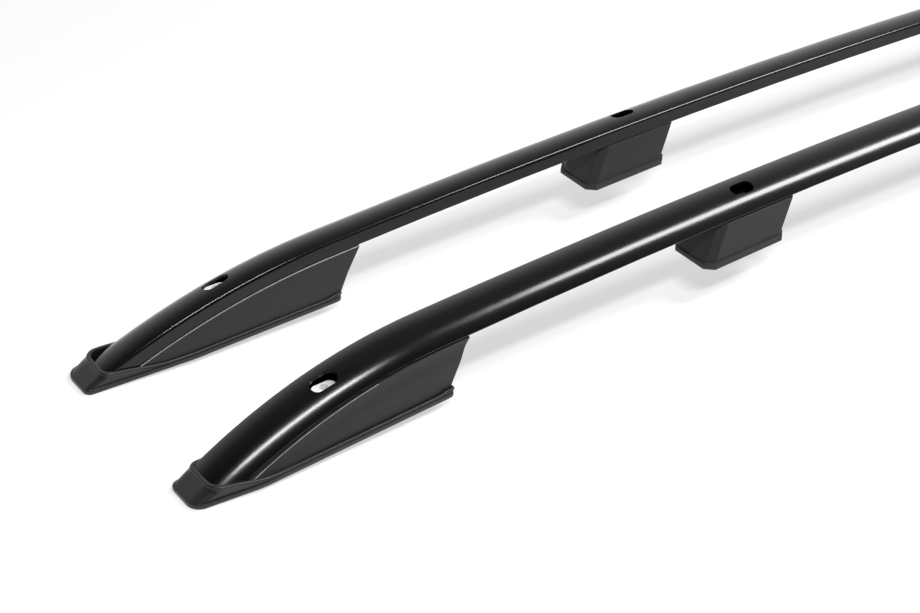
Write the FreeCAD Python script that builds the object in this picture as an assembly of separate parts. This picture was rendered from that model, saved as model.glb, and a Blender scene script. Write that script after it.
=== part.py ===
import FreeCAD, Part
import math
import os

V = FreeCAD.Vector

# A mirrored pair of car roof side rails, lying side by side on the toes of their shoes. Millimetres and degrees.
# X runs along the rails with the front at -X, Y across them, Z up from the floor under the toes.
# Each rail is worked out once as the front half of the right rail, with +Y as its outer side, on a level shoe
# and about the top of the arch. It's then tilted onto its toe, so that the arch goes on into the rear half.

# The pair
rail_length = 1906.0
rail_spacing = 184.0

# Bar extrusion: flat underside and inner face, one round crown from the inner crease to the outer edge
bar_width = 45.5
bar_side_height = 15.0
bar_crown_radius = 38.0
bar_wall = 2.6
bar_edge_radius = 1.4

# Run of the bar: a long arch, then a tighter bend down at each end that leans outwards
arch_radius = 10526.0
arch_top_setback = 484.0
bend_setback = 260.0
bend_radius = 558.6
bend_lean = 10.5
bar_tip_height = 12.0
bar_tip_solid = 24.0

# Access slots in the crown and the bushes under them
slot_length = 27.0
slot_width = 14.5
end_slot_setback = 149.0
bush_bore = 8.6
bush_outside = 12.0
bush_plate_length = 24.0
bush_plate_width = 13.0
end_plate_thickness = 4.5
pillar_plate_thickness = 2.0
bush_clearance = 0.2
bush_recess = 0.5

# End shoe: a soft tray with a rounded toe, a thin lip along its sides and a raised lip at its rear
shoe_length = 272.5
shoe_rear_outer = 28.0
shoe_rear_inner = 24.5
shoe_bulge_outer = 34.5
shoe_bulge_setback = 66.0
shoe_waist_inner = 23.2
shoe_waist_setback = 110.0
shoe_toe_outer = 27.0
shoe_toe_inner = 14.2
shoe_toe_radius_outer = 14.0
shoe_toe_radius_inner = 8.0
shoe_rear_radius = 6.0
shoe_side_radius = 100.0
shoe_floor = 4.0
shoe_edge_height = 5.0
shoe_edge_step = 1.0
shoe_side_height = 7.5
shoe_nose_height = 16.5
shoe_nose_fall = 54.0
shoe_rear_height = 9.8
shoe_rear_lip = 8.0
shoe_wall = 2.2
shoe_lip = 1.2
shoe_nose_depth = 20.0
tray_rear_radius = 1.0

# End foot: the web between the shoe and the bar, with a cove under the bar's outer edge
web_rake = 24.0
web_toe_height = 4.2
web_clearance = 0.7
web_cove_depth = 1.4
web_cove_height = 6.0
web_stations = 5

# Pillar: a raked middle foot on a flanged pad
pillar_setback = 630.7
pillar_height = 44.2
pillar_rake = 21.0
pillar_top_inset = 0.8
pad_length = 106.7
pad_width = 59.2
pad_chamfer = 8.8
flange_thickness = 2.6
flange_step = 2.6
gasket_thickness = 3.0
pillar_bolt_shift = 11.0

# Fits
seam_gap = 0.3
tip_clearance = 3.0
tip_trim = 58.0
trim_margin = 0.6
join_tolerance = 0.001
angle_step = 1e-9
reach = 90.0

# Stations along the front half, from the arch's top
nose_x = -arch_top_setback
shoe_rear_x = nose_x + shoe_length
end_bolt_x = nose_x + end_slot_setback
bend_start_x = nose_x + bend_setback
bar_tip_x = nose_x + shoe_nose_depth + tip_clearance
pillar_x = nose_x + pillar_setback
pillar_bolt_x = pillar_x + pillar_bolt_shift

# Ways at the start of the bend: up and ahead from the bar, and in to the bend's centre
bar_half = bar_width / 2
along_y = V(0, 1, 0)
arch_angle = math.degrees(math.asin(-bend_start_x / arch_radius))
bend_up = V(-math.sin(math.radians(arch_angle)), 0, math.cos(math.radians(arch_angle)))
bend_ahead = V(-bend_up.z, 0, bend_up.x)
bend_inward = bend_up * -math.cos(math.radians(bend_lean)) + along_y * math.sin(math.radians(bend_lean))
bend_axis = along_y * math.cos(math.radians(bend_lean)) + bend_up * math.sin(math.radians(bend_lean))


def crown_arc():
    """Centre (y, z) of the crown, whose arc joins the inner crease to the outer bottom corner."""
    chord = math.hypot(bar_width, bar_side_height)
    down = math.sqrt(bar_crown_radius ** 2 - (chord / 2) ** 2)
    return -down * bar_side_height / chord, bar_side_height / 2 - down * bar_width / chord


def bend_offset(angle, above):
    """From the bend's start under the bar to a point above its underside, angle degrees round the bend."""
    turn = math.radians(angle)
    outer = bend_radius + above
    return bend_ahead * (outer * math.sin(turn)) + bend_inward * (bend_radius - outer * math.cos(turn))


def turn_until(reached):
    """The angle round the bend from which reached holds."""
    low, high = 0.0, 90.0
    while high - low > angle_step:
        middle = (low + high) / 2
        if reached(middle):
            high = middle
        else:
            low = middle
    return high


def bend_angle(x, above=0.0):
    """How far round the bend the bar reaches x, at this height above its underside."""
    return turn_until(lambda angle: bend_start_x + bend_offset(angle, above).x <= x)


# Height of the bend's start, which lets the crown come down to the tip's height at the tip
crown_y, crown_z = crown_arc()
bar_height = crown_z + bar_crown_radius
tip_fall = bend_offset(bend_angle(bar_tip_x, bar_height), bar_height).z
bend_height = shoe_floor + bar_tip_height - tip_fall
bend_sweep = bend_angle(nose_x)
bend_foot = V(bend_start_x, 0, bend_height)
bend_centre = bend_foot + bend_inward * bend_radius
arch_centre = V(0, 0, bend_height - math.sqrt(arch_radius ** 2 - bend_start_x ** 2))

# Tilt that brings the toe to the rail's end, and the lift that then sets it on the floor
toe_reach = math.hypot(nose_x, arch_centre.z)
toe_angle = math.degrees(math.asin(rail_length / 2 / toe_reach))
sole_tilt = toe_angle - math.degrees(math.asin(-nose_x / toe_reach))
toe_lift = -arch_centre.z - toe_reach * math.cos(math.radians(toe_angle))


def arc(start, middle, end):
    return Part.Arc(start, middle, end).toShape()


def profile_wire():
    """The bar's outline, with its three corners rounded."""
    crown = V(0, crown_y, crown_z)
    turn = bar_crown_radius - bar_edge_radius
    heel = V(0, bar_edge_radius - bar_half, bar_edge_radius)
    crease = V(0, heel.y, crown_z + math.sqrt(turn ** 2 - (heel.y - crown_y) ** 2))
    edge = V(0, crown_y + math.sqrt(turn ** 2 - (heel.z - crown_z) ** 2), heel.z)
    inwards, downwards = V(0, -1, 0), V(0, 0, -1)
    crease_way, edge_way = (crease - crown).normalize(), (edge - crown).normalize()

    def corner(centre, first_way, last_way):
        middle_way = (first_way + last_way).normalize()
        return [centre + way * bar_edge_radius for way in (first_way, middle_way, last_way)]

    heel_arc = corner(heel, downwards, inwards)
    crease_arc = corner(crease, inwards, crease_way)
    edge_arc = corner(edge, edge_way, downwards)
    crown_middle = crown + (crease_way + edge_way).normalize() * bar_crown_radius
    return Part.Wire([
        arc(*heel_arc),
        Part.makeLine(heel_arc[2], crease_arc[0]),
        arc(*crease_arc),
        arc(crease_arc[2], crown_middle, edge_arc[0]),
        arc(*edge_arc),
        Part.makeLine(edge_arc[2], heel_arc[0]),
    ])


def hollow_wire():
    """The bar's hollow, a wall in from its outline, with sharp corners."""
    turn = bar_crown_radius - bar_wall
    heel = V(0, bar_wall - bar_half, bar_wall)
    crease = V(0, heel.y, crown_z + math.sqrt(turn ** 2 - (heel.y - crown_y) ** 2))
    edge = V(0, crown_y + math.sqrt(turn ** 2 - (heel.z - crown_z) ** 2), heel.z)
    crown = V(0, crown_y, crown_z)
    middle_way = ((crease - crown) + (edge - crown)).normalize()
    return Part.Wire([
        Part.makeLine(heel, crease),
        arc(crease, crown + middle_way * turn, edge),
        Part.makeLine(edge, heel),
    ])


def block_wire(low, high):
    """A wide rectangle in the bar's section, from low to high above its underside."""
    corners = [V(0, -reach, low), V(0, reach, low), V(0, reach, high), V(0, -reach, high)]
    return Part.makePolygon(corners + corners[:1])


def along_arch(face, start, sweep):
    """The section swept along the arch, from the angle start ahead of its top."""
    placed = face.translated(V(0, 0, arch_centre.z + arch_radius))
    placed.rotate(arch_centre, along_y, -start)
    return placed.revolve(arch_centre, along_y, sweep)


def along_bend(face, sweep):
    """The section swept round the front bend, on from the end of the arch."""
    placed = face.translated(V(0, 0, arch_centre.z + arch_radius))
    placed.rotate(arch_centre, along_y, -arch_angle)
    return placed.revolve(bend_centre, bend_axis * -1, sweep)


def along_front(face):
    """The section swept over the whole front half: its arch and its bend."""
    return along_arch(face, arch_angle, arch_angle + sole_tilt).fuse(along_bend(face, bend_sweep))


def underside(x):
    """Middle of the bar's underside at x on the front half."""
    if x >= bend_start_x:
        return V(x, 0, arch_centre.z + math.sqrt(arch_radius ** 2 - x ** 2))
    return bend_foot + bend_offset(bend_angle(x), 0.0)


def rounded_outline(corners, height, inset=0.0):
    """Closed wire through (x, y, radius) corners, listed anticlockwise, moved in by inset."""
    count = len(corners)
    points = [V(x, y, height) for x, y, radius in corners]
    ways = [(points[(i + 1) % count] - points[i]).normalize() for i in range(count)]
    sides = [V(-way.y, way.x, 0) for way in ways]
    arcs = []
    for i, (x, y, radius) in enumerate(corners):
        before, after = sides[i - 1], sides[i]
        share = 1 + before.dot(after)
        point = points[i] + (before + after) * (inset / share)
        bend = radius - inset
        back = bend * math.sqrt((1 - before.dot(after)) / share)
        centre = point + (before + after) * (bend / share)
        middle = centre - (before + after).normalize() * bend
        arcs.append((point - ways[i - 1] * back, middle, point + ways[i] * back))
    edges = []
    for i in range(count):
        edges.append(arc(*arcs[i]))
        edges.append(Part.makeLine(arcs[i][2], arcs[(i + 1) % count][0]))
    return Part.Wire(edges)


def prism(wire, height):
    return Part.Face(wire).extrude(V(0, 0, height))


def side_cut(points):
    """A cutter with this outline of (x, z) points, reaching right across the rail."""
    wire = Part.makePolygon([V(x, -reach, z) for x, z in points + points[:1]])
    return Part.Face(wire).extrude(V(0, 2 * reach, 0))


def upright(x, y, radius, low, high):
    return Part.makeCylinder(radius, high - low, V(x, y, low))


def obround(x, y, length, width, low, high):
    """A slot-shaped prism with its length along X."""
    half, flat = width / 2, (length - width) / 2
    edges = [
        Part.makeLine(V(x - flat, y - half, low), V(x + flat, y - half, low)),
        arc(V(x + flat, y - half, low), V(x + flat + half, y, low), V(x + flat, y + half, low)),
        Part.makeLine(V(x + flat, y + half, low), V(x - flat, y + half, low)),
        arc(V(x - flat, y + half, low), V(x - flat - half, y, low), V(x - flat, y - half, low)),
    ]
    return prism(Part.Wire(edges), high - low)


def front_and_rear(shape):
    """A piece tilted onto the front toe, and its mirror at the rear."""
    front = shape.copy()
    front.rotate(arch_centre, along_y, -sole_tilt)
    front.translate(V(0, 0, toe_lift))
    return [front, front.mirror(V(0, 0, 0), V(1, 0, 0))]


# Bolt places of the front half, as (x, y, level of the face under the foot)
end_bolt_y = underside(end_bolt_x).y
pad_level = underside(pillar_x).z - pillar_height
end_bolt = (end_bolt_x, end_bolt_y, 0.0)
pillar_bolt = (pillar_bolt_x, 0.0, pad_level)
bush_hole = bush_outside / 2 + bush_clearance


def bush_hole_cut(bolt):
    x, y, level = bolt
    return upright(x, y, bush_hole, level - reach, underside(x).z + bar_side_height / 2)


def along_rail(face, sweep):
    """The section swept over the whole rail: the arch, and the bend at each end."""
    half = arch_angle + sole_tilt
    arch = along_arch(face, half, 2 * half).translated(V(0, 0, toe_lift))
    return arch.fuse(front_and_rear(along_bend(face, sweep)))


def make_bar():
    bar = along_rail(Part.Face(profile_wire()), bend_sweep)
    hollow_sweep = bend_angle(bar_tip_x + bar_tip_solid)
    cuts = [along_rail(Part.Face(hollow_wire()), hollow_sweep)]
    end_box = 2 * reach
    floor_cut = Part.makeBox(2 * end_box, end_box, end_box, V(nose_x - reach, -reach, shoe_floor - end_box))
    tip_cut = Part.makeBox(end_box, end_box, end_box, V(bar_tip_x - end_box, -reach, -reach))
    tray = prism(rounded_outline(pocket_corners(), -reach, seam_gap), end_box)
    side_trim = Part.makeBox(tip_trim + reach, end_box, end_box, V(nose_x - reach, -reach, -reach)).cut(tray)
    for cut in (floor_cut, tip_cut, side_trim):
        cuts.extend(front_and_rear(cut))
    for bolt in (end_bolt, pillar_bolt):
        x, y, level = bolt
        hollow = underside(x).z + bar_side_height / 2
        cuts.extend(front_and_rear(obround(x, y, slot_length, slot_width, hollow, hollow + reach)))
        cuts.extend(front_and_rear(bush_hole_cut(bolt)))
    return bar.cut(cuts, join_tolerance)


def shoe_corners():
    """Corners of the shoe's foot on the roof, from its rear inner one round to its inner waist."""
    return [
        (shoe_rear_x, -shoe_rear_inner, shoe_rear_radius),
        (shoe_rear_x, shoe_rear_outer, shoe_rear_radius),
        (nose_x + shoe_bulge_setback, shoe_bulge_outer, shoe_side_radius),
        (nose_x, shoe_toe_outer, shoe_toe_radius_outer),
        (nose_x, -shoe_toe_inner, shoe_toe_radius_inner),
        (nose_x + shoe_waist_setback, -shoe_waist_inner, shoe_side_radius),
    ]


def side_at(x, chain):
    """Y at x of a side, which runs straight between the corners in chain from front to rear."""
    (x0, y0, _), (x1, y1, _) = chain[:2] if x < chain[1][0] else chain[1:]
    return y0 + (y1 - y0) * (x - x0) / (x1 - x0)


def pocket_corners():
    """Corners of the tray inside the shoe: a wall in from its sides and a nose in from its toe."""
    rear_inner, rear_outer, bulge, toe_outer, toe_inner, waist = shoe_corners()
    rear_x = shoe_rear_x - shoe_wall
    front_x = nose_x + shoe_nose_depth
    outer_y = side_at(front_x, [toe_outer, bulge, rear_outer])
    inner_y = side_at(front_x, [toe_inner, waist, rear_inner])
    return [
        (rear_x, rear_inner[1] + shoe_wall, tray_rear_radius),
        (rear_x, rear_outer[1] - shoe_wall, tray_rear_radius),
        (bulge[0], bulge[1] - shoe_wall, shoe_side_radius),
        (front_x, outer_y - shoe_wall, shoe_toe_radius_outer),
        (front_x, inner_y + shoe_wall, shoe_toe_radius_inner),
        (waist[0], waist[1] + shoe_wall, shoe_side_radius),
    ]


def make_shoe():
    base = prism(rounded_outline(shoe_corners(), 0.0), shoe_edge_height)
    shoulder = rounded_outline(shoe_corners(), shoe_edge_height, shoe_edge_step)
    rim = rounded_outline(pocket_corners(), shoe_nose_height, -shoe_lip)
    dome = Part.makeLoft([shoulder, rim], True, True)
    nose_end = nose_x + shoe_nose_depth + shoe_toe_radius_inner
    above = shoe_nose_height + reach
    lip_line = side_cut([
        (nose_end, shoe_nose_height),
        (nose_end + shoe_nose_fall, shoe_side_height),
        (shoe_rear_x - 2 * shoe_rear_lip, shoe_side_height),
        (shoe_rear_x - shoe_rear_lip, shoe_rear_height),
        (shoe_rear_x + reach, shoe_rear_height),
        (shoe_rear_x + reach, above),
        (nose_end, above),
    ])
    pocket = prism(rounded_outline(pocket_corners(), shoe_floor), reach)
    return base.fuse(dome).cut([lip_line, pocket, bush_hole_cut(end_bolt)]).removeSplitter()


def web_section(x):
    """The web's outline across the rail at x, its top a little into the bar for trimming."""
    rear_inner, rear_outer, bulge, toe_outer, toe_inner, waist = pocket_corners()
    inner = side_at(x, [toe_inner, waist, rear_inner]) + web_clearance
    outer = side_at(x, [toe_outer, bulge, rear_outer]) - web_clearance
    top = underside(x)
    crest = top.z + trim_margin
    knee = shoe_floor + (crest - shoe_floor) * (1 - web_cove_height / (bend_height - shoe_floor))
    cove = top.y + bar_half - bar_edge_radius
    points = [
        V(x, inner, shoe_floor),
        V(x, outer, shoe_floor),
        V(x, cove, knee),
        V(x, cove - web_cove_depth, crest),
        V(x, top.y - bar_half + seam_gap, crest),
    ]
    return Part.makePolygon(points + points[:1])


def make_web():
    toe_fall = shoe_floor + web_toe_height - bend_height
    toe_turn = turn_until(lambda angle: bend_offset(angle, 0.0).z <= toe_fall)
    front_x = bend_start_x + bend_offset(toe_turn, 0.0).x
    rear_x = shoe_rear_x - shoe_wall - web_clearance
    lean = math.tan(math.radians(web_rake))
    far_x = rear_x + pillar_height * lean + 2 * web_cove_height
    step = (far_x - front_x) / web_stations
    sections = [web_section(front_x + step * i) for i in range(web_stations + 1)]
    web = Part.makeLoft(sections, True, False)
    rear_cut = side_cut([
        (rear_x, shoe_floor - reach),
        (rear_x, shoe_rear_height),
        (rear_x + reach * lean, shoe_rear_height + reach),
        (rear_x + 2 * reach, shoe_rear_height + reach),
        (rear_x + 2 * reach, shoe_floor - reach),
    ])
    bar_room = along_front(Part.Face(block_wire(-seam_gap, reach)))
    return web.cut([rear_cut, bar_room, bush_hole_cut(end_bolt)])


def octagon(x, length, width, chamfer, height):
    """A rectangle about x with its corners cut off, at this height."""
    ahead, aside = length / 2, width / 2
    points = []
    for sx, sy in ((1, 1), (-1, 1), (-1, -1), (1, -1)):
        near_end = V(x + sx * ahead, sy * (aside - chamfer), height)
        near_side = V(x + sx * (ahead - chamfer), sy * aside, height)
        points.extend([near_end, near_side] if sx == sy else [near_side, near_end])
    return Part.makePolygon(points + points[:1])


def make_gasket():
    pad = prism(octagon(pillar_x, pad_length, pad_width, pad_chamfer, pad_level), gasket_thickness)
    return pad.cut(bush_hole_cut(pillar_bolt))


def make_pillar():
    flange_low = pad_level + gasket_thickness
    flange_high = flange_low + flange_thickness
    flange = prism(octagon(pillar_x, pad_length, pad_width, pad_chamfer, flange_low), flange_thickness)
    length = pad_length - 2 * flange_step
    chamfer = pad_chamfer - flange_step * (2 - math.sqrt(2))
    rise = pillar_height - gasket_thickness - flange_thickness
    top_high = flange_high + rise + trim_margin
    shift = (top_high - flange_high) * math.tan(math.radians(pillar_rake))
    foot = octagon(pillar_x, length, pad_width - 2 * flange_step, chamfer, flange_high)
    head = octagon(pillar_x + shift, length, bar_width - 2 * pillar_top_inset, chamfer, top_high)
    body = Part.makeLoft([foot, head], True, True)
    bar_room = along_arch(Part.Face(block_wire(-seam_gap, reach)), arch_angle, arch_angle + sole_tilt)
    return flange.fuse(body).cut([bar_room, bush_hole_cut(pillar_bolt)])


def make_bush(bolt, plate_thickness):
    """A flanged sleeve on the bar's inner floor, through the foot, for the bolt that goes into the roof."""
    x, y, level = bolt
    uphill = underside(x + bush_plate_length / 2).z + bar_wall
    downhill = underside(x - bush_plate_length / 2).z
    plate_top = uphill + plate_thickness
    plate = obround(x, y, bush_plate_length, bush_plate_width, downhill - bar_wall, plate_top)
    plate = plate.cut(along_front(Part.Face(block_wire(-reach, bar_wall))))
    sleeve = upright(x, y, bush_outside / 2, level + bush_recess, plate_top)
    bore = upright(x, y, bush_bore / 2, level - reach, plate_top + reach)
    return plate.fuse(sleeve).cut(bore)


def write_rails():
    """Writes both rails: the front pieces, their mirror at the rear, and the mirror of it all at the left."""
    front_pieces = {
        "shoe": make_shoe(),
        "end_foot": make_web(),
        "end_bush": make_bush(end_bolt, end_plate_thickness),
        "gasket": make_gasket(),
        "pillar": make_pillar(),
        "pillar_bush": make_bush(pillar_bolt, pillar_plate_thickness),
    }
    right_rail = {"bar": make_bar()}
    for name, shape in front_pieces.items():
        front, rear = front_and_rear(shape)
        right_rail["front_" + name] = front
        right_rail["rear_" + name] = rear
    os.makedirs("parts", exist_ok=True)
    for name, shape in right_rail.items():
        right = shape.translated(V(0, rail_spacing / 2, 0))
        right.exportStep("parts/right_" + name + ".step")
        right.mirror(V(0, 0, 0), along_y).exportStep("parts/left_" + name + ".step")


write_rails()
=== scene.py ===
"""Dresses a packed pair of roof side rails and sets a pale studio round them.

The bars get a satin coat, the feet a moulded finish, the shoes soft rubber lips, and the bushes
zinc plate or blued steel.
"""

import math

import bmesh
import bpy
from bpy.props import FloatProperty, FloatVectorProperty, PointerProperty
from mathutils import Matrix, Vector


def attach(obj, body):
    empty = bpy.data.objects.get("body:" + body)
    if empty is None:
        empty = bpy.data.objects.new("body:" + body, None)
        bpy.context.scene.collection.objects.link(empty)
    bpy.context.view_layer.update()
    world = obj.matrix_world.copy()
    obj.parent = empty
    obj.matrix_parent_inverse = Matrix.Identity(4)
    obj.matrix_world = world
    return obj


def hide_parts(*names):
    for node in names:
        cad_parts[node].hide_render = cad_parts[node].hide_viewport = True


bl_info = {
    "name": "Roof Side Rails",
    "version": (1, 0, 0),
    "blender": (4, 5, 0),
    "location": "View3D > Sidebar > Rails",
    "description": "Finishes a pair of roof side rails and sets a pale studio round them",
    "category": "Object",
}

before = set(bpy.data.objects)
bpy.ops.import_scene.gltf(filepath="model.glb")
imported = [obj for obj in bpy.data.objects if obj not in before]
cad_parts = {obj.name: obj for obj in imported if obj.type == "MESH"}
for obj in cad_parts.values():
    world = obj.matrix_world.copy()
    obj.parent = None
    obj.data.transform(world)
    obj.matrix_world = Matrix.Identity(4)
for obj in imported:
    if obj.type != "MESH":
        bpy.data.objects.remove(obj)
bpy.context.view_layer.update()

SIDES = ("left", "right")
ENDS = ("front", "rear")
FEET = tuple((side, end) for side in SIDES for end in ENDS)

# Run of the bars in metres: the arch and the bend at each end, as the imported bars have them
RAIL_OFFSET = 0.092
ARCH_RADIUS = 10.526
ARCH_CENTRE_Z = -10.4370248
BEND_START = math.radians(3.789626)
BEND_RADIUS = 0.5586
BEND_LEAN = math.radians(10.5)
BEND_HALVINGS = 40

# Section of the bars in metres, and how near to its core a point has to be to lie inside the bar
BAR_HALF = 0.02275
BAR_SIDE = 0.015
CROWN_RADIUS = 0.038
EDGE_RADIUS = 0.0014
INSIDE_REACH = 0.5 * EDGE_RADIUS

# Softer crease of the bars: how near to the crease's centre a point's core lies, the cuts along
# its strip, and the turn up to which a face is still shaded as the true curve
CREASE_CATCH = 0.0002
CREASE_CUTS = 3
TRUE_SHADE = math.cos(math.radians(78.0))

# Shoe in metres, level and about the arch's top: its foot and its tray as (x, y, rounding)
# corners, anticlockwise from the rear, with the steps round each corner and along each side
SOLE_TILT = math.radians(2.5702522)
SOLE_CENTRE_Z = -10.4692617
NOSE_X, SHOE_LENGTH = -0.484, 0.2725
HEEL_X = NOSE_X + SHOE_LENGTH
SHOE_FOOT = (
    (HEEL_X, -0.0245, 0.006),
    (HEEL_X, 0.028, 0.006),
    (NOSE_X + 0.066, 0.0345, 0.1),
    (NOSE_X, 0.027, 0.014),
    (NOSE_X, -0.0142, 0.008),
    (NOSE_X + 0.11, -0.0232, 0.1),
)
SHOE_TRAY = (
    (HEEL_X - 0.0022, -0.0223, 0.001),
    (HEEL_X - 0.0022, 0.0258, 0.001),
    (NOSE_X + 0.066, 0.0323, 0.1),
    (NOSE_X + 0.02, 0.0270727, 0.014),
    (NOSE_X + 0.02, -0.0136364, 0.008),
    (NOSE_X + 0.11, -0.021, 0.1),
)
ARC_STEPS = (6, 6, 8, 16, 12, 8)
SIDE_STEPS = (6, 30, 14, 8, 16, 26)
NOSE_FADE = (NOSE_X + 0.02, NOSE_X + 0.09)

# Base of the shoe, up to the fine ledge round it, as (inset at the nose, inset at the sides,
# height)
SHOE_BASE = (
    (0.0011, 0.0011, 0.0),
    (0.0003, 0.0003, 0.0003),
    (0.0, 0.0, 0.0011),
    (0.0, 0.0, 0.0040),
    (0.0002, 0.0001, 0.0046),
    (0.0006, 0.0003, 0.0050),
    (0.0010, 0.0004, 0.0050),
    (0.0014, 0.0006, 0.0047),
)

# Dome of the shoe: insets of its start at the nose and the sides, its start's height, its rim
# outside the tray, its least height and its steps
DOME_INSETS = (0.0016, 0.0007)
DOME_START, DOME_RIM, DOME_LEAST = 0.0046, 0.0014, 0.0004
DOME_STEPS = 7

# Lip of the shoe: its height along the sides, what the nose and the rear add to it and where,
# its rounding, and its inside as (inset at the nose, drop)
LIP_SIDE, LIP_NOSE, LIP_REAR = 0.0075, 0.009, 0.0023
LIP_NOSE_FADE = (NOSE_X + 0.02, NOSE_X + 0.086)
LIP_REAR_FADE = (HEEL_X - 0.018, HEEL_X - 0.006)
LIP_RADIUS, LIP_OUTSET, LIP_NECK = 0.0019, 0.0002, 0.0006
LIP_STEPS = 7
LIP_INSIDE = ((0.0014, 0.0), (0.0021, 0.0003), (0.0024, 0.0009), (0.0022, 0.0022))

# Floor of the tray, as (inset, height), and the bolt's hole, as (x, y, radius), with its drill
SHOE_FLOOR = 0.004
TRAY_FLOOR = ((0.0, SHOE_FLOOR + 0.0005), (0.0004, SHOE_FLOOR))
BOLT_HOLE = (-0.335, 0.0020396, 0.0062)
DRILL_SIDES, DRILL_LENGTH = 48, 0.2

# End foot in metres: its ends along the tray, the height from which its heel is raked, and its
# gaps to the tray and the bar
FOOT_FRONT_X, FOOT_REAR_X = NOSE_X + 0.0475, HEEL_X - 0.003
FOOT_HEEL = 0.0098
FOOT_CLEARANCE, FOOT_SEAM = 0.0007, 0.0004

# Outline of the end foot's section: the knee at the top of its outer face, the ledge on the knee,
# the brow where the scoop meets the bar, and the inner ledge that stands proud of the bar
KNEE_INSET, KNEE_LEAST = 0.0016, 0.0008
LEDGE_IN, LEDGE_UP = 0.0006, 0.0003
BROW_LEAST = 0.0002
PROUD_OUT, PROUD_DROP, PROUD_LEAST = 0.0009, 0.0005, 0.0004
GROOVE_REACH, GROOVE_SKEW = 0.022, 0.7

# Steps of the end foot's mesh, the two strips of it that carry a painted highlight in light grey,
# and the share of the foot's length at which the outer one ends
FOOT_STEPS, FACE_STEPS, COVE_STEPS, HEAD_STEPS, INNER_STEPS = 48, 14, 6, 4, 4
TOP_PASSES = 6
OUTER_LEDGE = FACE_STEPS + 3
INNER_LEDGE = OUTER_LEDGE + COVE_STEPS + HEAD_STEPS + 1
LEDGE_END = 0.6

# Height above the sole from which the pillars lean
PILLAR_FOOT = 0.019

# Mesh work: seams to close, the angle up to which faces count as flat, the one from which an
# edge is sharp, and the steps of a rounded edge
SEAM = 0.00001
FLAT_ANGLE = math.radians(0.6)
SHARP_ANGLE = math.radians(32.0)
EDGE_SEGMENTS = 3

# Camera's sensor in millimetres, and the picture's width in pixels
SENSOR_WIDTH = 36.0
PHOTO_WIDTH = 920

# Soft lamps, as (name, place, aim, size along and across the rails, power)
SOFTBOXES = (
    ("front_softbox", (-0.9, -1.4, 2.3), (-0.84, -0.11, 0.05), (1.32, 0.26), 54.0),
    ("rear_softbox", (1.23, -0.75, 2.07), (-0.30, -0.10, 0.10), (1.4, 0.46), 56.0),
)

# Floor's half width in metres, and the greys of the sky: by the height of the way up, for a dim
# ceiling, and by the way to the backdrop
FLOOR_HALF = 12.0
SKY_STOPS = ((0.0, 1.0), (0.45, 0.95), (0.64, 0.7), (0.86, 0.3))
BACKDROP_WAY = (0.6, 0.8, 0.0)
BACKDROP_STOPS = ((0.3, 0.1), (0.68, 1.0))
WHITE = (1.0, 1.0, 1.0, 1.0)


def colour_prop(name, default, description):
    return FloatVectorProperty(
        name=name, description=description, subtype="COLOR", size=3, min=0.0, max=1.0,
        default=default)


def length_prop(name, default, description):
    return FloatProperty(
        name=name, description=description, subtype="DISTANCE", unit="LENGTH", min=0.0,
        default=default)


def share_prop(name, default, description):
    return FloatProperty(
        name=name, description=description, subtype="FACTOR", min=0.0, max=1.0, default=default)


def angle_prop(name, degrees, description):
    return FloatProperty(
        name=name, description=description, subtype="ANGLE", default=math.radians(degrees))


class RailFinishSettings(bpy.types.PropertyGroup):
    """Colours, grain and edges of the rails' finishes."""

    bar_black: colour_prop("Bar black", (0.002, 0.002, 0.0022), "Satin coat of the bars")
    bar_gloss: share_prop("Bar roughness", 0.17, "Roughness of the bars' coat")
    bar_crease: length_prop(
        "Bar crease", 0.0038, "Rounding of the crease along the bars' inner edge")
    bar_grain: length_prop("Bar grain", 0.0006, "Size of the coat's fine orange peel")
    foot_black: colour_prop(
        "Foot black", (0.013, 0.013, 0.0137), "Moulded plastic of the end feet and pillars")
    foot_grain: length_prop("Foot grain", 0.0005, "Size of the moulding's fine texture")
    foot_edge: length_prop("Foot edge", 0.0006, "Rounding of the moulded edges")
    foot_rake: angle_prop("Foot rake", 29.0, "Lean of the end feet's heels")
    cove_depth: length_prop(
        "Cove depth", 0.0055, "How far the end feet are scooped under the bars' outer edge")
    cove_front: length_prop(
        "Cove front", 0.0055, "How far that scoop reaches below the bar's edge at the front")
    cove_rear: length_prop(
        "Cove rear", 0.002, "How far that scoop reaches below the bar's edge at the heel")
    groove_depth: length_prop(
        "Groove depth", 0.0016, "Depth of the soft groove along the end feet's outer faces")
    # Painted highlight: light grey painted on the end feet's ledges along the bars, to show a
    # fine light line
    highlight_grey: colour_prop(
        "Seam grey", (0.3, 0.3, 0.31), "Bare edge of the end feet along the bars")
    pillar_rake: FloatProperty(
        name="Pillar rake", description="Further lean of the pillars, against their height",
        default=0.12)
    pillar_gap: FloatProperty(
        name="Pillar gap", description="Shadow gap above the pillars, against their height",
        default=0.03)
    rubber_black: colour_prop(
        "Rubber black", (0.010, 0.010, 0.0105), "Rubber of the shoes and gaskets")
    rubber_grain: length_prop("Rubber grain", 0.0011, "Size of the rubber's soft mottle")
    rubber_edge: length_prop("Rubber edge", 0.0007, "Rounding of the gaskets' edges")
    zinc_grey: colour_prop("Zinc grey", (0.9, 0.905, 0.915), "Bright plate of the end bushes")
    steel_blue: colour_prop(
        "Steel blue", (0.12, 0.14, 0.17), "Blued steel of the pillar bushes")


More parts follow.
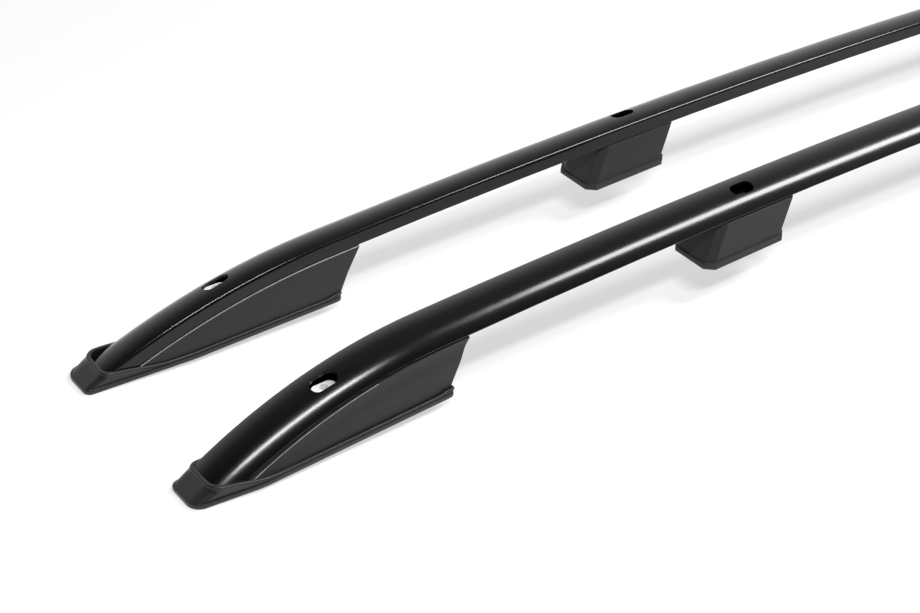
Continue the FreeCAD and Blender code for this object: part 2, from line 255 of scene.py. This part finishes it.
class RailStudioSettings(bpy.types.PropertyGroup):
    """Camera, floor and lamps of the studio."""

    eye: FloatVectorProperty(
        name="Eye", description="Place of the camera", subtype="XYZ", unit="LENGTH", size=3,
        default=(-1.524384, -1.235671, 1.050382))
    azimuth: angle_prop("Azimuth", 37.1133, "Turn of the view from +Y towards +X")
    elevation: angle_prop("Elevation", 33.9107, "How far the view looks down")
    roll: angle_prop("Roll", 2.0823, "Turn of the camera about its own line of sight")
    focal_pixels: FloatProperty(
        name="Focal length", description="Focal length in pixels of the picture",
        default=1912.04)
    floor_white: colour_prop("Floor white", (0.9, 0.9, 0.9), "Pale floor under the rails")
    floor_glow: share_prop(
        "Floor glow", 0.58, "Share of plain white in the floor, as seen and as mirrored")
    box_power: FloatProperty(
        name="Softbox power", description="Strength of the soft lamps against their own power",
        default=1.0)
    sky: FloatProperty(
        name="Sky", description="Strength of the light from the backdrop", default=1.0)


class Signal:
    """A node socket that Python's operators add Math nodes to."""

    def __init__(self, finish, socket):
        self.finish = finish
        self.socket = socket

    def maths(self, operation, first, second):
        return self.finish.add("ShaderNodeMath", {"operation": operation}, {0: first, 1: second})

    def __add__(self, other):
        return self.maths("ADD", self, other)

    __radd__ = __add__

    def __sub__(self, other):
        return self.maths("SUBTRACT", self, other)

    def __rsub__(self, other):
        return self.maths("SUBTRACT", other, self)

    def __mul__(self, other):
        return self.maths("MULTIPLY", self, other)

    __rmul__ = __mul__


class NodeWork:
    """A node tree that is built afresh, with one method that adds any node."""

    def __init__(self, holder):
        holder.use_nodes = True
        self.tree = holder.node_tree
        self.tree.nodes.clear()

    def add(self, kind, settings=None, inputs=None, output=0):
        """Adds a node, sets it, fills or links its inputs, and gives one output as a Signal."""
        node = self.tree.nodes.new(kind)
        for name, value in (settings or {}).items():
            if name == "stops":
                self.set_stops(node.color_ramp, value)
            else:
                setattr(node, name, value)
        for key, value in (inputs or {}).items():
            if isinstance(value, Signal):
                self.tree.links.new(value.socket, node.inputs[key])
            else:
                node.inputs[key].default_value = value
        return Signal(self, node.outputs[output]) if node.outputs else None

    @staticmethod
    def set_stops(ramp, stops):
        while len(ramp.elements) < len(stops):
            ramp.elements.new(1.0)
        for element, (place, grey) in zip(ramp.elements, stops):
            element.position = place
            element.color = (grey, grey, grey, 1.0)


class Finish(NodeWork):
    """A new node material."""

    def __init__(self, name):
        self.material = bpy.data.materials.new(name)
        super().__init__(self.material)

    def noise(self, size, detail):
        """Noise with grains of this size in metres, in the rails' own frame."""
        place = self.add("ShaderNodeTexCoord", None, None, "Object")
        inputs = {"Vector": place, "Scale": 1.0 / size, "Detail": detail}
        return self.add("ShaderNodeTexNoise", None, inputs, "Fac")

    def spread(self, signal, low, high):
        """Maps 0..1 to low..high."""
        return signal * (high - low) + low

    def tint(self, colour, signal, low, high):
        """The colour, made darker and lighter from low to high by the signal."""
        dark = tuple(channel * low for channel in colour) + (1.0,)
        light = tuple(channel * high for channel in colour) + (1.0,)
        inputs = {"Factor": signal, 6: dark, 7: light}
        return self.add("ShaderNodeMix", {"data_type": "RGBA"}, inputs, 2)

    def bump(self, height, strength, distance):
        inputs = {"Height": height, "Strength": strength, "Distance": distance}
        return self.add("ShaderNodeBump", None, inputs)

    def surface(self, inputs):
        """Ends the material in one Principled shader."""
        shader = self.add("ShaderNodeBsdfPrincipled", None, inputs)
        self.add("ShaderNodeOutputMaterial", None, {"Surface": shader})
        return self.material


def bar_coat(look):
    """Satin black coat with a fine orange peel and faint cloudy wear."""
    coat = Finish("satin_black_coat")
    peel = coat.noise(look.bar_grain, detail=2.0)
    cloud = coat.noise(0.09, detail=4.0)
    return coat.surface({
        "Base Color": coat.tint(look.bar_black, cloud, low=0.75, high=1.3),
        "Roughness": coat.spread(cloud, look.bar_gloss - 0.03, look.bar_gloss + 0.04),
        "IOR": 1.43,
        "Normal": coat.bump(peel, strength=0.12, distance=0.0001),
    })


def foot_moulding(look):
    """Black moulded plastic with a fine even texture."""
    moulding = Finish("moulded_black_plastic")
    grain = moulding.noise(look.foot_grain, detail=3.0)
    cloud = moulding.noise(0.05, detail=3.0)
    return moulding.surface({
        "Base Color": moulding.tint(look.foot_black, cloud, low=0.85, high=1.15),
        "Roughness": moulding.spread(grain, low=0.48, high=0.62),
        "IOR": 1.46,
        "Normal": moulding.bump(grain, strength=0.25, distance=0.0001),
    })


def painted_edge_highlight(look):
    """Painted highlight: light grey on the end feet's ledges, a fine light line along the bars.
    """
    edge = Finish("painted_highlight_edge")
    fleck = edge.noise(0.004, detail=3.0)
    return edge.surface({
        "Base Color": edge.tint(look.highlight_grey, fleck, low=0.5, high=1.4),
        "Roughness": 0.4,
    })


def shoe_rubber(look):
    """Matte black rubber with a soft mottle."""
    rubber = Finish("matte_black_rubber")
    mottle = rubber.noise(look.rubber_grain, detail=4.0)
    cloud = rubber.noise(0.03, detail=3.0)
    return rubber.surface({
        "Base Color": rubber.tint(look.rubber_black, cloud, low=0.8, high=1.2),
        "Roughness": rubber.spread(mottle, low=0.31, high=0.43),
        "IOR": 1.5,
        "Normal": rubber.bump(mottle, strength=0.2, distance=0.0002),
    })


def bush_steel(look):
    """Dark blued steel of the pillar bushes, worn a little unevenly."""
    steel = Finish("blued_steel")
    wear = steel.noise(0.004, detail=2.0)
    return steel.surface({
        "Base Color": steel.tint(look.steel_blue, wear, low=0.7, high=1.3),
        "Metallic": 0.8,
        "Roughness": steel.spread(wear, low=0.3, high=0.45),
    })


def bush_zinc(look):
    """Bright zinc with a faint spangle, on the end bushes."""
    zinc = Finish("bright_zinc_plate")
    spangle = zinc.noise(0.003, detail=2.0)
    return zinc.surface({
        "Base Color": zinc.tint(look.zinc_grey, spangle, low=0.85, high=1.1),
        "Metallic": 0.15,
        "Roughness": zinc.spread(spangle, low=0.4, high=0.55),
    })


class BarSurface:
    """The true outer surface of a bar, worked out for the right front end."""

    def __init__(self, bend_start=BEND_START, arch_centre_z=ARCH_CENTRE_Z):
        self.bend_start = bend_start
        chord = math.hypot(2 * BAR_HALF, BAR_SIDE)
        drop = math.sqrt(CROWN_RADIUS ** 2 - (chord / 2) ** 2)
        self.crown = Vector((
            -drop * BAR_SIDE / chord,
            BAR_SIDE / 2 - drop * 2 * BAR_HALF / chord,
        ))
        self.turn = CROWN_RADIUS - EDGE_RADIUS
        self.heel = Vector((EDGE_RADIUS - BAR_HALF, EDGE_RADIUS))
        crease_rise = math.sqrt(self.turn ** 2 - (self.heel.x - self.crown.x) ** 2)
        edge_reach = math.sqrt(self.turn ** 2 - (self.heel.y - self.crown.y) ** 2)
        self.crease = Vector((self.heel.x, self.crown.y + crease_rise))
        outer_edge = Vector((self.crown.x + edge_reach, self.heel.y))
        self.corners = (self.heel, self.crease, outer_edge)
        up = Vector((-math.sin(bend_start), 0.0, math.cos(bend_start)))
        side = Vector((0.0, 1.0, 0.0))
        self.ahead = Vector((-up.z, 0.0, up.x))
        self.outwards = up * math.cos(BEND_LEAN) - side * math.sin(BEND_LEAN)
        self.axis = side * math.cos(BEND_LEAN) + up * math.sin(BEND_LEAN)
        self.arch_centre = Vector((0.0, 0.0, arch_centre_z))
        self.bend_centre = self.arch_centre + up * ARCH_RADIUS - self.outwards * BEND_RADIUS

    def underside(self, x):
        """Middle of the bar's underside at x, and its slope from the inner to the outer side."""
        if x >= self.arch_centre.x - ARCH_RADIUS * math.sin(self.bend_start):
            height = self.arch_centre.z + math.sqrt(ARCH_RADIUS ** 2 - x ** 2)
            return Vector((x, 0.0, height)), 0.0
        low, high = 0.0, math.pi / 2
        for _ in range(BEND_HALVINGS):
            turn = (low + high) / 2
            outwards = self.ahead * math.sin(turn) + self.outwards * math.cos(turn)
            spot = self.bend_centre + outwards * BEND_RADIUS
            low, high = (turn, high) if spot.x > x else (low, turn)
        facing = self.axis * math.sin(BEND_LEAN) + outwards * math.cos(BEND_LEAN)
        return spot, -facing.y / facing.z

    def section_way(self, point, crease_radius):
        """Which way the section's outline faces at a point on it, and the point's shift."""
        still = Vector((0.0, 0.0))
        core = Vector((max(point.x, self.heel.x), max(point.y, self.heel.y)))
        if (core - self.crown).length > self.turn:
            ring = self.crown + (point - self.crown).normalized() * self.turn
            if ring.x >= self.heel.x and ring.y >= self.heel.y:
                core = ring
            else:
                core = min(self.corners, key=lambda corner: (corner - point).length)
        way = point - core
        if way.length < INSIDE_REACH:
            return None, still
        way.normalize()
        if (core - self.crease).length > CREASE_CATCH:
            return way, still
        reach = crease_radius - BAR_HALF
        turn = CROWN_RADIUS - crease_radius
        rise = math.sqrt(turn ** 2 - (reach - self.crown.x) ** 2)
        centre = Vector((reach, self.crown.y + rise))
        return way, centre + way * crease_radius - point

    def shading(self, place, crease_radius):
        """Which way the bar faces at a place on any of its ends, and the shift to a wider crease.

        The way is None inside the bar.
        """
        flip = Vector((-1.0 if place.x > 0 else 1.0, -1.0 if place.y < 0 else 1.0, 1.0))
        point = place * flip - Vector((0.0, RAIL_OFFSET, 0.0))
        spoke = point - self.arch_centre
        if math.atan2(-spoke.x, spoke.z) <= self.bend_start:
            across, lean = Vector((0.0, 1.0, 0.0)), 0.0
            outwards = Vector((spoke.x, 0.0, spoke.z)).normalized()
            section = Vector((point.y, math.hypot(spoke.x, spoke.z) - ARCH_RADIUS))
        else:
            spoke = point - self.bend_centre
            across, lean = self.axis, BEND_LEAN
            ahead, outer = spoke.dot(self.ahead), spoke.dot(self.outwards)
            outwards = (self.ahead * ahead + self.outwards * outer).normalized()
            rise, aside = math.hypot(ahead, outer) - BEND_RADIUS, spoke.dot(self.axis)
            section = Vector((
                aside * math.cos(lean) - rise * math.sin(lean),
                aside * math.sin(lean) + rise * math.cos(lean),
            ))

        def unrolled(way):
            aside = way.x * math.cos(lean) + way.y * math.sin(lean)
            rise = way.y * math.cos(lean) - way.x * math.sin(lean)
            return (across * aside + outwards * rise) * flip

        facing, shift = self.section_way(section, crease_radius)
        return unrolled(facing) if facing else None, unrolled(shift)


def whole_mesh(node):
    """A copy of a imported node's mesh, with the seams between its faces closed."""
    shape = bmesh.new()
    shape.from_mesh(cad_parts[node].data)
    bmesh.ops.remove_doubles(shape, verts=shape.verts, dist=SEAM)
    return shape


def finished_piece(node, shape, slot, *materials):
    """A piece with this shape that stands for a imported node."""
    mesh = bpy.data.meshes.new(f"{node}_finished")
    shape.to_mesh(mesh)
    shape.free()
    for material in materials:
        mesh.materials.append(material)
    piece = bpy.data.objects.new(mesh.name, mesh)
    bpy.context.scene.collection.objects.link(piece)
    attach(piece, "root")
    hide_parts(node)
    return piece


def shade_with_edges(mesh):
    """Shades a mesh smooth, apart from its sharp edges."""
    mesh.shade_smooth()
    mesh.set_sharp_from_angle(angle=SHARP_ANGLE)


def coated_bar(node, material, crease_radius):
    """A bar with a softer crease, shaded as the true curve right up to its slots."""
    shape, surface = whole_mesh(node), BarSurface()
    moved = {vertex: surface.shading(vertex.co, crease_radius)[1].length > SEAM
             for vertex in shape.verts}
    strip = [edge for edge in shape.edges if all(moved[vertex] for vertex in edge.verts)]
    bmesh.ops.subdivide_edges(shape, edges=strip, cuts=CREASE_CUTS, use_grid_fill=True)
    bmesh.ops.triangulate(shape, faces=[face for face in shape.faces if len(face.verts) > 3])
    mesh = finished_piece(node, shape, "bar_coating", material).data
    mesh.shade_smooth()
    ways = []
    for vertex in mesh.vertices:
        way, shift = surface.shading(vertex.co, crease_radius)
        ways.append(way)
        vertex.co += shift
    mesh.update()
    normals = []
    for face in mesh.polygons:
        for vertex in face.vertices:
            way = ways[vertex]
            close = way is not None and way.dot(face.normal) > TRUE_SHADE
            normals.append(way if close else face.normal)
    mesh.normals_split_custom_set(normals)


def raked(shape, place, look):
    """Leans the upright part of a pillar further back, and leaves a shadow gap under the bar."""
    settle = place.inverted()
    for vertex in shape.verts:
        spot = settle @ vertex.co
        rise = max(spot.z - PILLAR_FOOT, 0.0)
        spot.x += rise * look.pillar_rake
        spot.z -= rise * look.pillar_gap
        vertex.co = place @ spot


def softened(node, shape, slot, material, width):
    """A piece with its sharp edges rounded over."""
    bmesh.ops.dissolve_limit(
        shape, angle_limit=FLAT_ANGLE, verts=shape.verts, edges=shape.edges, delimit={"NORMAL"})
    sharp = [edge for edge in shape.edges
             if len(edge.link_faces) == 2 and edge.calc_face_angle() > SHARP_ANGLE]
    bmesh.ops.bevel(
        shape, geom=sharp, offset=width, offset_type="OFFSET", segments=EDGE_SEGMENTS,
        profile=0.5, affect="EDGES", clamp_overlap=True)
    piece = finished_piece(node, shape, slot, material)
    shade_with_edges(piece.data)
    piece.modifiers.new("even_shading", "WEIGHTED_NORMAL").keep_sharp = True


def rounded_outline(corners, inset):
    """Points round (x, y, rounding) corners, listed anticlockwise and moved in by inset."""
    count = len(corners)
    spots = [Vector((x, y)) for x, y, rounding in corners]
    ways = [(spots[(i + 1) % count] - spots[i]).normalized() for i in range(count)]
    sides = [Vector((-way.y, way.x)) for way in ways]
    arcs = []
    for i, (x, y, rounding) in enumerate(corners):
        before, after = sides[i - 1], sides[i]
        share = 1 + before.dot(after)
        bend = max(rounding - inset, SEAM)
        centre = spots[i] + (before + after) * ((inset + bend) / share)
        turn = math.acos(before.dot(after))
        arcs.append([centre + Matrix.Rotation(turn * step / ARC_STEPS[i], 2) @ (before * -bend)
                     for step in range(ARC_STEPS[i] + 1)])
    points = []
    for i in range(count):
        points.extend(arcs[i])
        start, end = arcs[i][-1], arcs[(i + 1) % count][0]
        points.extend(start.lerp(end, step / SIDE_STEPS[i]) for step in range(1, SIDE_STEPS[i]))
    return points


def ease(value, low, high):
    """A smooth step from 0 at low to 1 at high."""
    share = min(max((value - low) / (high - low), 0.0), 1.0)
    return share * share * (3 - 2 * share)


def varied_outline(corners, nose_inset, side_inset):
    """Points round the corners, moved in by one amount at the nose and another at the sides."""
    nose_points = rounded_outline(corners, nose_inset)
    side_points = rounded_outline(corners, side_inset)
    return [side.lerp(nose, 1 - ease(side.x, *NOSE_FADE))
            for nose, side in zip(nose_points, side_points)]


def lip_height(x):
    """Height of the shoe's lip: high round the nose, low along the sides, raised at the rear."""
    side = LIP_SIDE + LIP_NOSE * (1 - ease(x, *LIP_NOSE_FADE))
    return side + LIP_REAR * ease(x, *LIP_REAR_FADE)


def level_ring(outline, height):
    return [(spot.x, spot.y, height) for spot in outline]


def lip_ring(outline, drop):
    return [(spot.x, spot.y, lip_height(spot.x) - drop) for spot in outline]


def shoe_rings():
    """Rings of (x, y, z) points from the shoe's underside over its lip to its tray's floor."""
    rings = [level_ring(varied_outline(SHOE_FOOT, nose_inset, side_inset), height)
             for nose_inset, side_inset, height in SHOE_BASE]
    foot, rim = varied_outline(SHOE_FOOT, *DOME_INSETS), rounded_outline(SHOE_TRAY, -DOME_RIM)
    for step in range(DOME_STEPS):
        share = step / DOME_STEPS
        ring = []
        for low, high in zip(foot, rim):
            spot = low.lerp(high, share)
            reach = max(lip_height(high.x) - LIP_RADIUS - LIP_NECK - DOME_START, DOME_LEAST)
            ring.append((spot.x, spot.y, DOME_START + reach * share))
        rings.append(ring)
    for step in range(LIP_STEPS + 1):
        turn = math.pi / 2 * step / LIP_STEPS
        outset = LIP_RADIUS * math.cos(turn) + LIP_OUTSET
        drop = LIP_RADIUS * (1 - math.sin(turn))
        rings.append(lip_ring(rounded_outline(SHOE_TRAY, -outset), drop))
    for nose_inset, drop in LIP_INSIDE:
        rings.append(lip_ring(varied_outline(SHOE_TRAY, nose_inset, 0.0), drop))
    for inset, height in TRAY_FLOOR:
        rings.append(level_ring(rounded_outline(SHOE_TRAY, inset), height))
    return rings


def sole_to_rail(side, end):
    """Takes places from the level shoe to one end of one rail."""
    lift = ARCH_CENTRE_Z - SOLE_CENTRE_Z
    lower = Matrix.Translation((0, 0, -SOLE_CENTRE_Z))
    tilt = Matrix.Rotation(-SOLE_TILT, 4, "Y")
    settled = Matrix.Translation((0, 0, SOLE_CENTRE_Z + lift)) @ tilt @ lower
    flips = (1.0 if end == "front" else -1.0, 1.0 if side == "right" else -1.0, 1.0, 1.0)
    return Matrix.Diagonal(flips) @ Matrix.Translation((0, RAIL_OFFSET, 0)) @ settled


def lofted(place, rings):
    """A closed shape through rings of (x, y, z) points, and its rows of faces between them."""
    shape = bmesh.new()
    rings = [[shape.verts.new(place @ Vector(point)) for point in ring] for ring in rings]
    rows = [[shape.faces.new((first[i - 1], first[i], second[i], second[i - 1]))
             for i in range(len(first))]
            for first, second in zip(rings, rings[1:])]
    shape.faces.new(rings[0])
    shape.faces.new(rings[-1])
    return shape, rows


def bored(piece, place):
    """Bores the hole for the bolt's bush through a shoe or an end foot."""
    x, y, radius = BOLT_HOLE
    shape = bmesh.new()
    bmesh.ops.create_cone(
        shape, cap_ends=True, segments=DRILL_SIDES, radius1=radius, radius2=radius,
        depth=DRILL_LENGTH, matrix=place @ Matrix.Translation((x, y, 0.0)))
    bmesh.ops.recalc_face_normals(shape, faces=shape.faces)
    mesh = bpy.data.meshes.new("bolt_drill")
    shape.to_mesh(mesh)
    shape.free()
    drill = bpy.data.objects.new("bolt_drill", mesh)
    bpy.context.scene.collection.objects.link(drill)
    cut = piece.modifiers.new("bolt_hole", "BOOLEAN")
    cut.object, cut.solver = drill, "EXACT"
    bpy.context.view_layer.update()
    evaluated = piece.evaluated_get(bpy.context.evaluated_depsgraph_get())
    result = bpy.data.meshes.new_from_object(evaluated)
    piece.modifiers.clear()
    piece.data = result
    bpy.data.objects.remove(drill)
    shade_with_edges(piece.data)


def side_at(x, corners):
    """Y at x of a side that runs straight between corners, listed from front to rear."""
    (x0, y0, _), (x1, y1, _) = corners[:2] if x < corners[1][0] else corners[1:]
    return y0 + (y1 - y0) * (x - x0) / (x1 - x0)


def foot_section(share, bar, look):
    """One ring of (x, y, z) points round an end foot, at this share of its length."""
    rear_inner, rear_outer, bulge, toe_outer, toe_inner, waist = SHOE_TRAY
    rake = math.tan(look.foot_rake)

    def x_at(z):
        rear = FOOT_REAR_X + rake * max(z - FOOT_HEEL, 0.0)
        return FOOT_FRONT_X + share * (rear - FOOT_FRONT_X)

    def under_bar(y):
        return top.z + slope * (y - top.y) - FOOT_SEAM

    x = x_at(SHOE_FLOOR)
    for _ in range(TOP_PASSES):
        top, slope = bar.underside(x)
        x = x_at(top.z)
    inner = side_at(x, (toe_inner, waist, rear_inner)) + FOOT_CLEARANCE
    outer = side_at(x, (toe_outer, bulge, rear_outer)) - FOOT_CLEARANCE
    points = [(inner, SHOE_FLOOR), ((inner + outer) / 2, SHOE_FLOOR)]

    # Outer face, with its soft groove, up to the knee
    knee_y = top.y + BAR_HALF - KNEE_INSET
    drop = look.cove_front + (look.cove_rear - look.cove_front) * share
    knee_z = max(under_bar(knee_y) - drop, SHOE_FLOOR + KNEE_LEAST)
    rise = knee_z - SHOE_FLOOR
    for i in range(FACE_STEPS + 1):
        below = rise * (1 - i / FACE_STEPS)
        bow = math.sin(math.pi * min(below / GROOVE_REACH, 1.0) ** GROOVE_SKEW) ** 2
        dent = look.groove_depth * min(rise / GROOVE_REACH, 1.0) * bow
        points.append((outer + (knee_y - outer) * i / FACE_STEPS - dent, knee_z - below))

    # Ledge on the knee, scoop up to the brow, and the top along the bar's underside
    ledge_y, ledge_z = knee_y - LEDGE_IN, knee_z + LEDGE_UP
    brow_y = knee_y - look.cove_depth
    brow_z = max(under_bar(brow_y), knee_z + BROW_LEAST)
    for i in range(COVE_STEPS + 1):
        turn = math.pi / 2 * i / COVE_STEPS
        points.append((ledge_y + (brow_y - ledge_y) * math.sin(turn),
                       ledge_z + (brow_z - ledge_z) * (1 - math.cos(turn))))
    head_y = top.y - BAR_HALF
    for i in range(1, HEAD_STEPS + 1):
        y = brow_y + (head_y - brow_y) * i / HEAD_STEPS
        points.append((y, under_bar(y)))

    # Inner ledge and the inner face, back down to the tray
    proud_y = head_y - PROUD_OUT
    proud_z = max(under_bar(head_y) - PROUD_DROP, SHOE_FLOOR + PROUD_LEAST)
    for i in range(INNER_STEPS):
        points.append((proud_y + (inner - proud_y) * i / INNER_STEPS,
                       proud_z + (SHOE_FLOOR - proud_z) * i / INNER_STEPS))
    return [(x_at(z), y, z) for y, z in points]


def moulded_foot(side, end, material, edge, look):
    """An end foot with a scoop under the bar's edge, a painted highlight on its ledges, a raked
    heel.
    """
    place = sole_to_rail(side, end)
    bar = BarSurface(BEND_START - SOLE_TILT, SOLE_CENTRE_Z)
    shape, rows = lofted(
        place, [foot_section(i / FOOT_STEPS, bar, look) for i in range(FOOT_STEPS + 1)])
    # The ledge strips take the second material, light grey, as a painted highlight
    for row in rows:
        row[INNER_LEDGE].material_index = 1
    for row in rows[:math.ceil(LEDGE_END * FOOT_STEPS)]:
        row[OUTER_LEDGE].material_index = 1
    bmesh.ops.recalc_face_normals(shape, faces=shape.faces)
    piece = finished_piece(f"{side}_{end}_end_foot", shape, "foot_moulding", material, edge)
    bored(piece, place)


def moulded_shoe(side, end, material):
    """A rubber shoe with a domed nose, a rounded lip all round and a flat sole."""
    place = sole_to_rail(side, end)
    shape, _ = lofted(place, shoe_rings())
    bmesh.ops.remove_doubles(shape, verts=shape.verts, dist=SEAM)
    bmesh.ops.recalc_face_normals(shape, faces=shape.faces)
    piece = finished_piece(f"{side}_{end}_shoe", shape, "shoe_rubber", material)
    bored(piece, place)


def paint(node, material):
    """Gives a CAD node one material."""
    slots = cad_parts[node].data.materials
    slots.clear()
    slots.append(material)


class RAILS_OT_coat_bars(bpy.types.Operator):
    """Coats both bars"""

    bl_idname = "rails.coat_bars"
    bl_label = "Coat Bars"

    def execute(self, context):
        look = context.scene.rail_finish
        coat = bar_coat(look)
        for side in SIDES:
            coated_bar(f"{side}_bar", coat, look.bar_crease)
        return {"FINISHED"}


class RAILS_OT_mould_feet(bpy.types.Operator):
    """Finishes the end feet and the pillars"""

    bl_idname = "rails.mould_feet"
    bl_label = "Mould Feet"

    def execute(self, context):
        look = context.scene.rail_finish
        # edge is the light grey of the painted highlight on the end feet's ledges
        moulding, edge = foot_moulding(look), painted_edge_highlight(look)
        for side, end in FEET:
            moulded_foot(side, end, moulding, edge, look)
            pillar = f"{side}_{end}_pillar"
            shape = whole_mesh(pillar)
            raked(shape, sole_to_rail(side, end), look)
            softened(pillar, shape, "foot_moulding", moulding, look.foot_edge)
        return {"FINISHED"}


class RAILS_OT_fit_rubber(bpy.types.Operator):
    """Finishes the shoes and the gaskets"""

    bl_idname = "rails.fit_rubber"
    bl_label = "Fit Rubber"

    def execute(self, context):
        look = context.scene.rail_finish
        rubber = shoe_rubber(look)
        for side, end in FEET:
            moulded_shoe(side, end, rubber)
        for side, end in FEET:
            gasket = f"{side}_{end}_gasket"
            softened(gasket, whole_mesh(gasket), "shoe_rubber", rubber, look.rubber_edge)
        return {"FINISHED"}


class RAILS_OT_plate_bushes(bpy.types.Operator):
    """Plates the end bushes and blues the pillar bushes"""

    bl_idname = "rails.plate_bushes"
    bl_label = "Plate Bushes"

    def execute(self, context):
        look = context.scene.rail_finish
        zinc, steel = bush_zinc(look), bush_steel(look)
        for side, end in FEET:
            paint(f"{side}_{end}_end_bush", zinc)
            paint(f"{side}_{end}_pillar_bush", steel)
        return {"FINISHED"}


def set_camera(studio):
    """A camera at the photograph's place and angle."""
    turn, dip = studio.azimuth, studio.elevation
    ahead = Vector((
        math.sin(turn) * math.cos(dip), math.cos(turn) * math.cos(dip), -math.sin(dip)))
    right = Vector((math.cos(turn), -math.sin(turn), 0.0))
    up = right.cross(ahead)
    axes = Matrix((right, up, -ahead)).transposed() @ Matrix.Rotation(studio.roll, 3, "Z")
    data = bpy.data.cameras.new("photo_camera")
    data.sensor_width = SENSOR_WIDTH
    data.lens = studio.focal_pixels * SENSOR_WIDTH / PHOTO_WIDTH
    camera = bpy.data.objects.new("photo_camera", data)
    camera.matrix_world = Matrix.Translation(studio.eye) @ axes.to_4x4()
    bpy.context.scene.collection.objects.link(camera)
    bpy.context.scene.camera = camera


def set_floor(studio):
    """A wide pale floor, almost white to the camera, that keeps the rails' faint shadows."""
    mesh = bpy.data.meshes.new("studio_floor")
    corners = [(-FLOOR_HALF, -FLOOR_HALF, 0.0), (FLOOR_HALF, -FLOOR_HALF, 0.0),
               (FLOOR_HALF, FLOOR_HALF, 0.0), (-FLOOR_HALF, FLOOR_HALF, 0.0)]
    mesh.from_pydata(corners, [], [(0, 1, 2, 3)])
    floor = bpy.data.objects.new("studio_floor", mesh)
    bpy.context.scene.collection.objects.link(floor)
    finish = Finish("pale_floor")
    pale = tuple(studio.floor_white) + (1.0,)
    matte = finish.add("ShaderNodeBsdfDiffuse", None, {"Color": pale})
    glow = finish.add("ShaderNodeEmission", None, {"Color": WHITE, "Strength": 1.0})
    seen = finish.add("ShaderNodeLightPath", None, None, "Is Camera Ray")
    mirrored = finish.add("ShaderNodeLightPath", None, None, "Is Glossy Ray")
    share = (seen + mirrored) * studio.floor_glow
    mixed = finish.add("ShaderNodeMixShader", None, {0: share, 1: matte, 2: glow})
    finish.add("ShaderNodeOutputMaterial", None, {"Surface": mixed})
    mesh.materials.append(finish.material)


def set_lamp(name, place, aim, size, power):
    """A rectangular soft lamp that faces aim, with its length along the rails."""
    data = bpy.data.lights.new(name, "AREA")
    data.shape = "RECTANGLE"
    data.size, data.size_y = size
    data.energy = power
    lamp = bpy.data.objects.new(name, data)
    back = (place - aim).normalized()
    along = (Vector((1.0, 0.0, 0.0)) - back * back.x).normalized()
    axes = Matrix((along, back.cross(along), back)).transposed()
    lamp.matrix_world = Matrix.Translation(place) @ axes.to_4x4()
    bpy.context.scene.collection.objects.link(lamp)


def set_sky(studio):
    """White light from a bright backdrop behind the rails, under a dim ceiling."""
    world = bpy.data.worlds.new("studio_sky")
    sky = NodeWork(world)
    way = sky.add("ShaderNodeTexCoord", None, None, "Generated")
    height = sky.add("ShaderNodeSeparateXYZ", None, {0: way}, "Z")
    shade = sky.add("ShaderNodeValToRGB", {"stops": SKY_STOPS}, {0: height})
    behind = sky.add(
        "ShaderNodeVectorMath", {"operation": "DOT_PRODUCT"}, {0: way, 1: BACKDROP_WAY}, "Value")
    wall = sky.add("ShaderNodeValToRGB", {"stops": BACKDROP_STOPS}, {0: behind * 0.5 + 0.5})
    seen = sky.add("ShaderNodeLightPath", None, None, "Is Camera Ray")
    strength = sky.add(
        "ShaderNodeMath", {"operation": "MAXIMUM"}, {0: shade * wall * studio.sky, 1: seen})
    light = sky.add("ShaderNodeBackground", None, {"Color": WHITE, "Strength": strength})
    sky.add("ShaderNodeOutputWorld", None, {"Surface": light})
    bpy.context.scene.world = world


class RAILS_OT_set_studio(bpy.types.Operator):
    """Sets the floor, the sky, the lamps and the camera"""

    bl_idname = "rails.set_studio"
    bl_label = "Set Studio"

    def execute(self, context):
        studio = context.scene.rail_studio
        set_floor(studio)
        set_sky(studio)
        for name, place, aim, size, power in SOFTBOXES:
            set_lamp(name, Vector(place), Vector(aim), size, power * studio.box_power)
        context.scene.view_settings.view_transform = "Standard"
        set_camera(studio)
        return {"FINISHED"}


class VIEW3D_PT_roof_rails(bpy.types.Panel):
    """Lists the rails' finishing steps in the sidebar"""

    bl_idname = "VIEW3D_PT_roof_rails"
    bl_label = "Roof Side Rails"
    bl_space_type = "VIEW_3D"
    bl_region_type = "UI"
    bl_category = "Rails"

    def draw(self, context):
        for operator in OPERATORS:
            self.layout.operator(operator.bl_idname)


OPERATORS = (
    RAILS_OT_coat_bars,
    RAILS_OT_mould_feet,
    RAILS_OT_fit_rubber,
    RAILS_OT_plate_bushes,
    RAILS_OT_set_studio,
)
CLASSES = (RailFinishSettings, RailStudioSettings) + OPERATORS + (VIEW3D_PT_roof_rails,)


def register():
    for cls in CLASSES:
        bpy.utils.register_class(cls)
    bpy.types.Scene.rail_finish = PointerProperty(type=RailFinishSettings)
    bpy.types.Scene.rail_studio = PointerProperty(type=RailStudioSettings)


def unregister():
    del bpy.types.Scene.rail_studio
    del bpy.types.Scene.rail_finish
    for cls in reversed(CLASSES):
        bpy.utils.unregister_class(cls)


def main():
    register()
    bpy.ops.rails.coat_bars()
    bpy.ops.rails.mould_feet()
    bpy.ops.rails.fit_rubber()
    bpy.ops.rails.plate_bushes()
    bpy.ops.rails.set_studio()


if __name__ == "__main__":
    main()
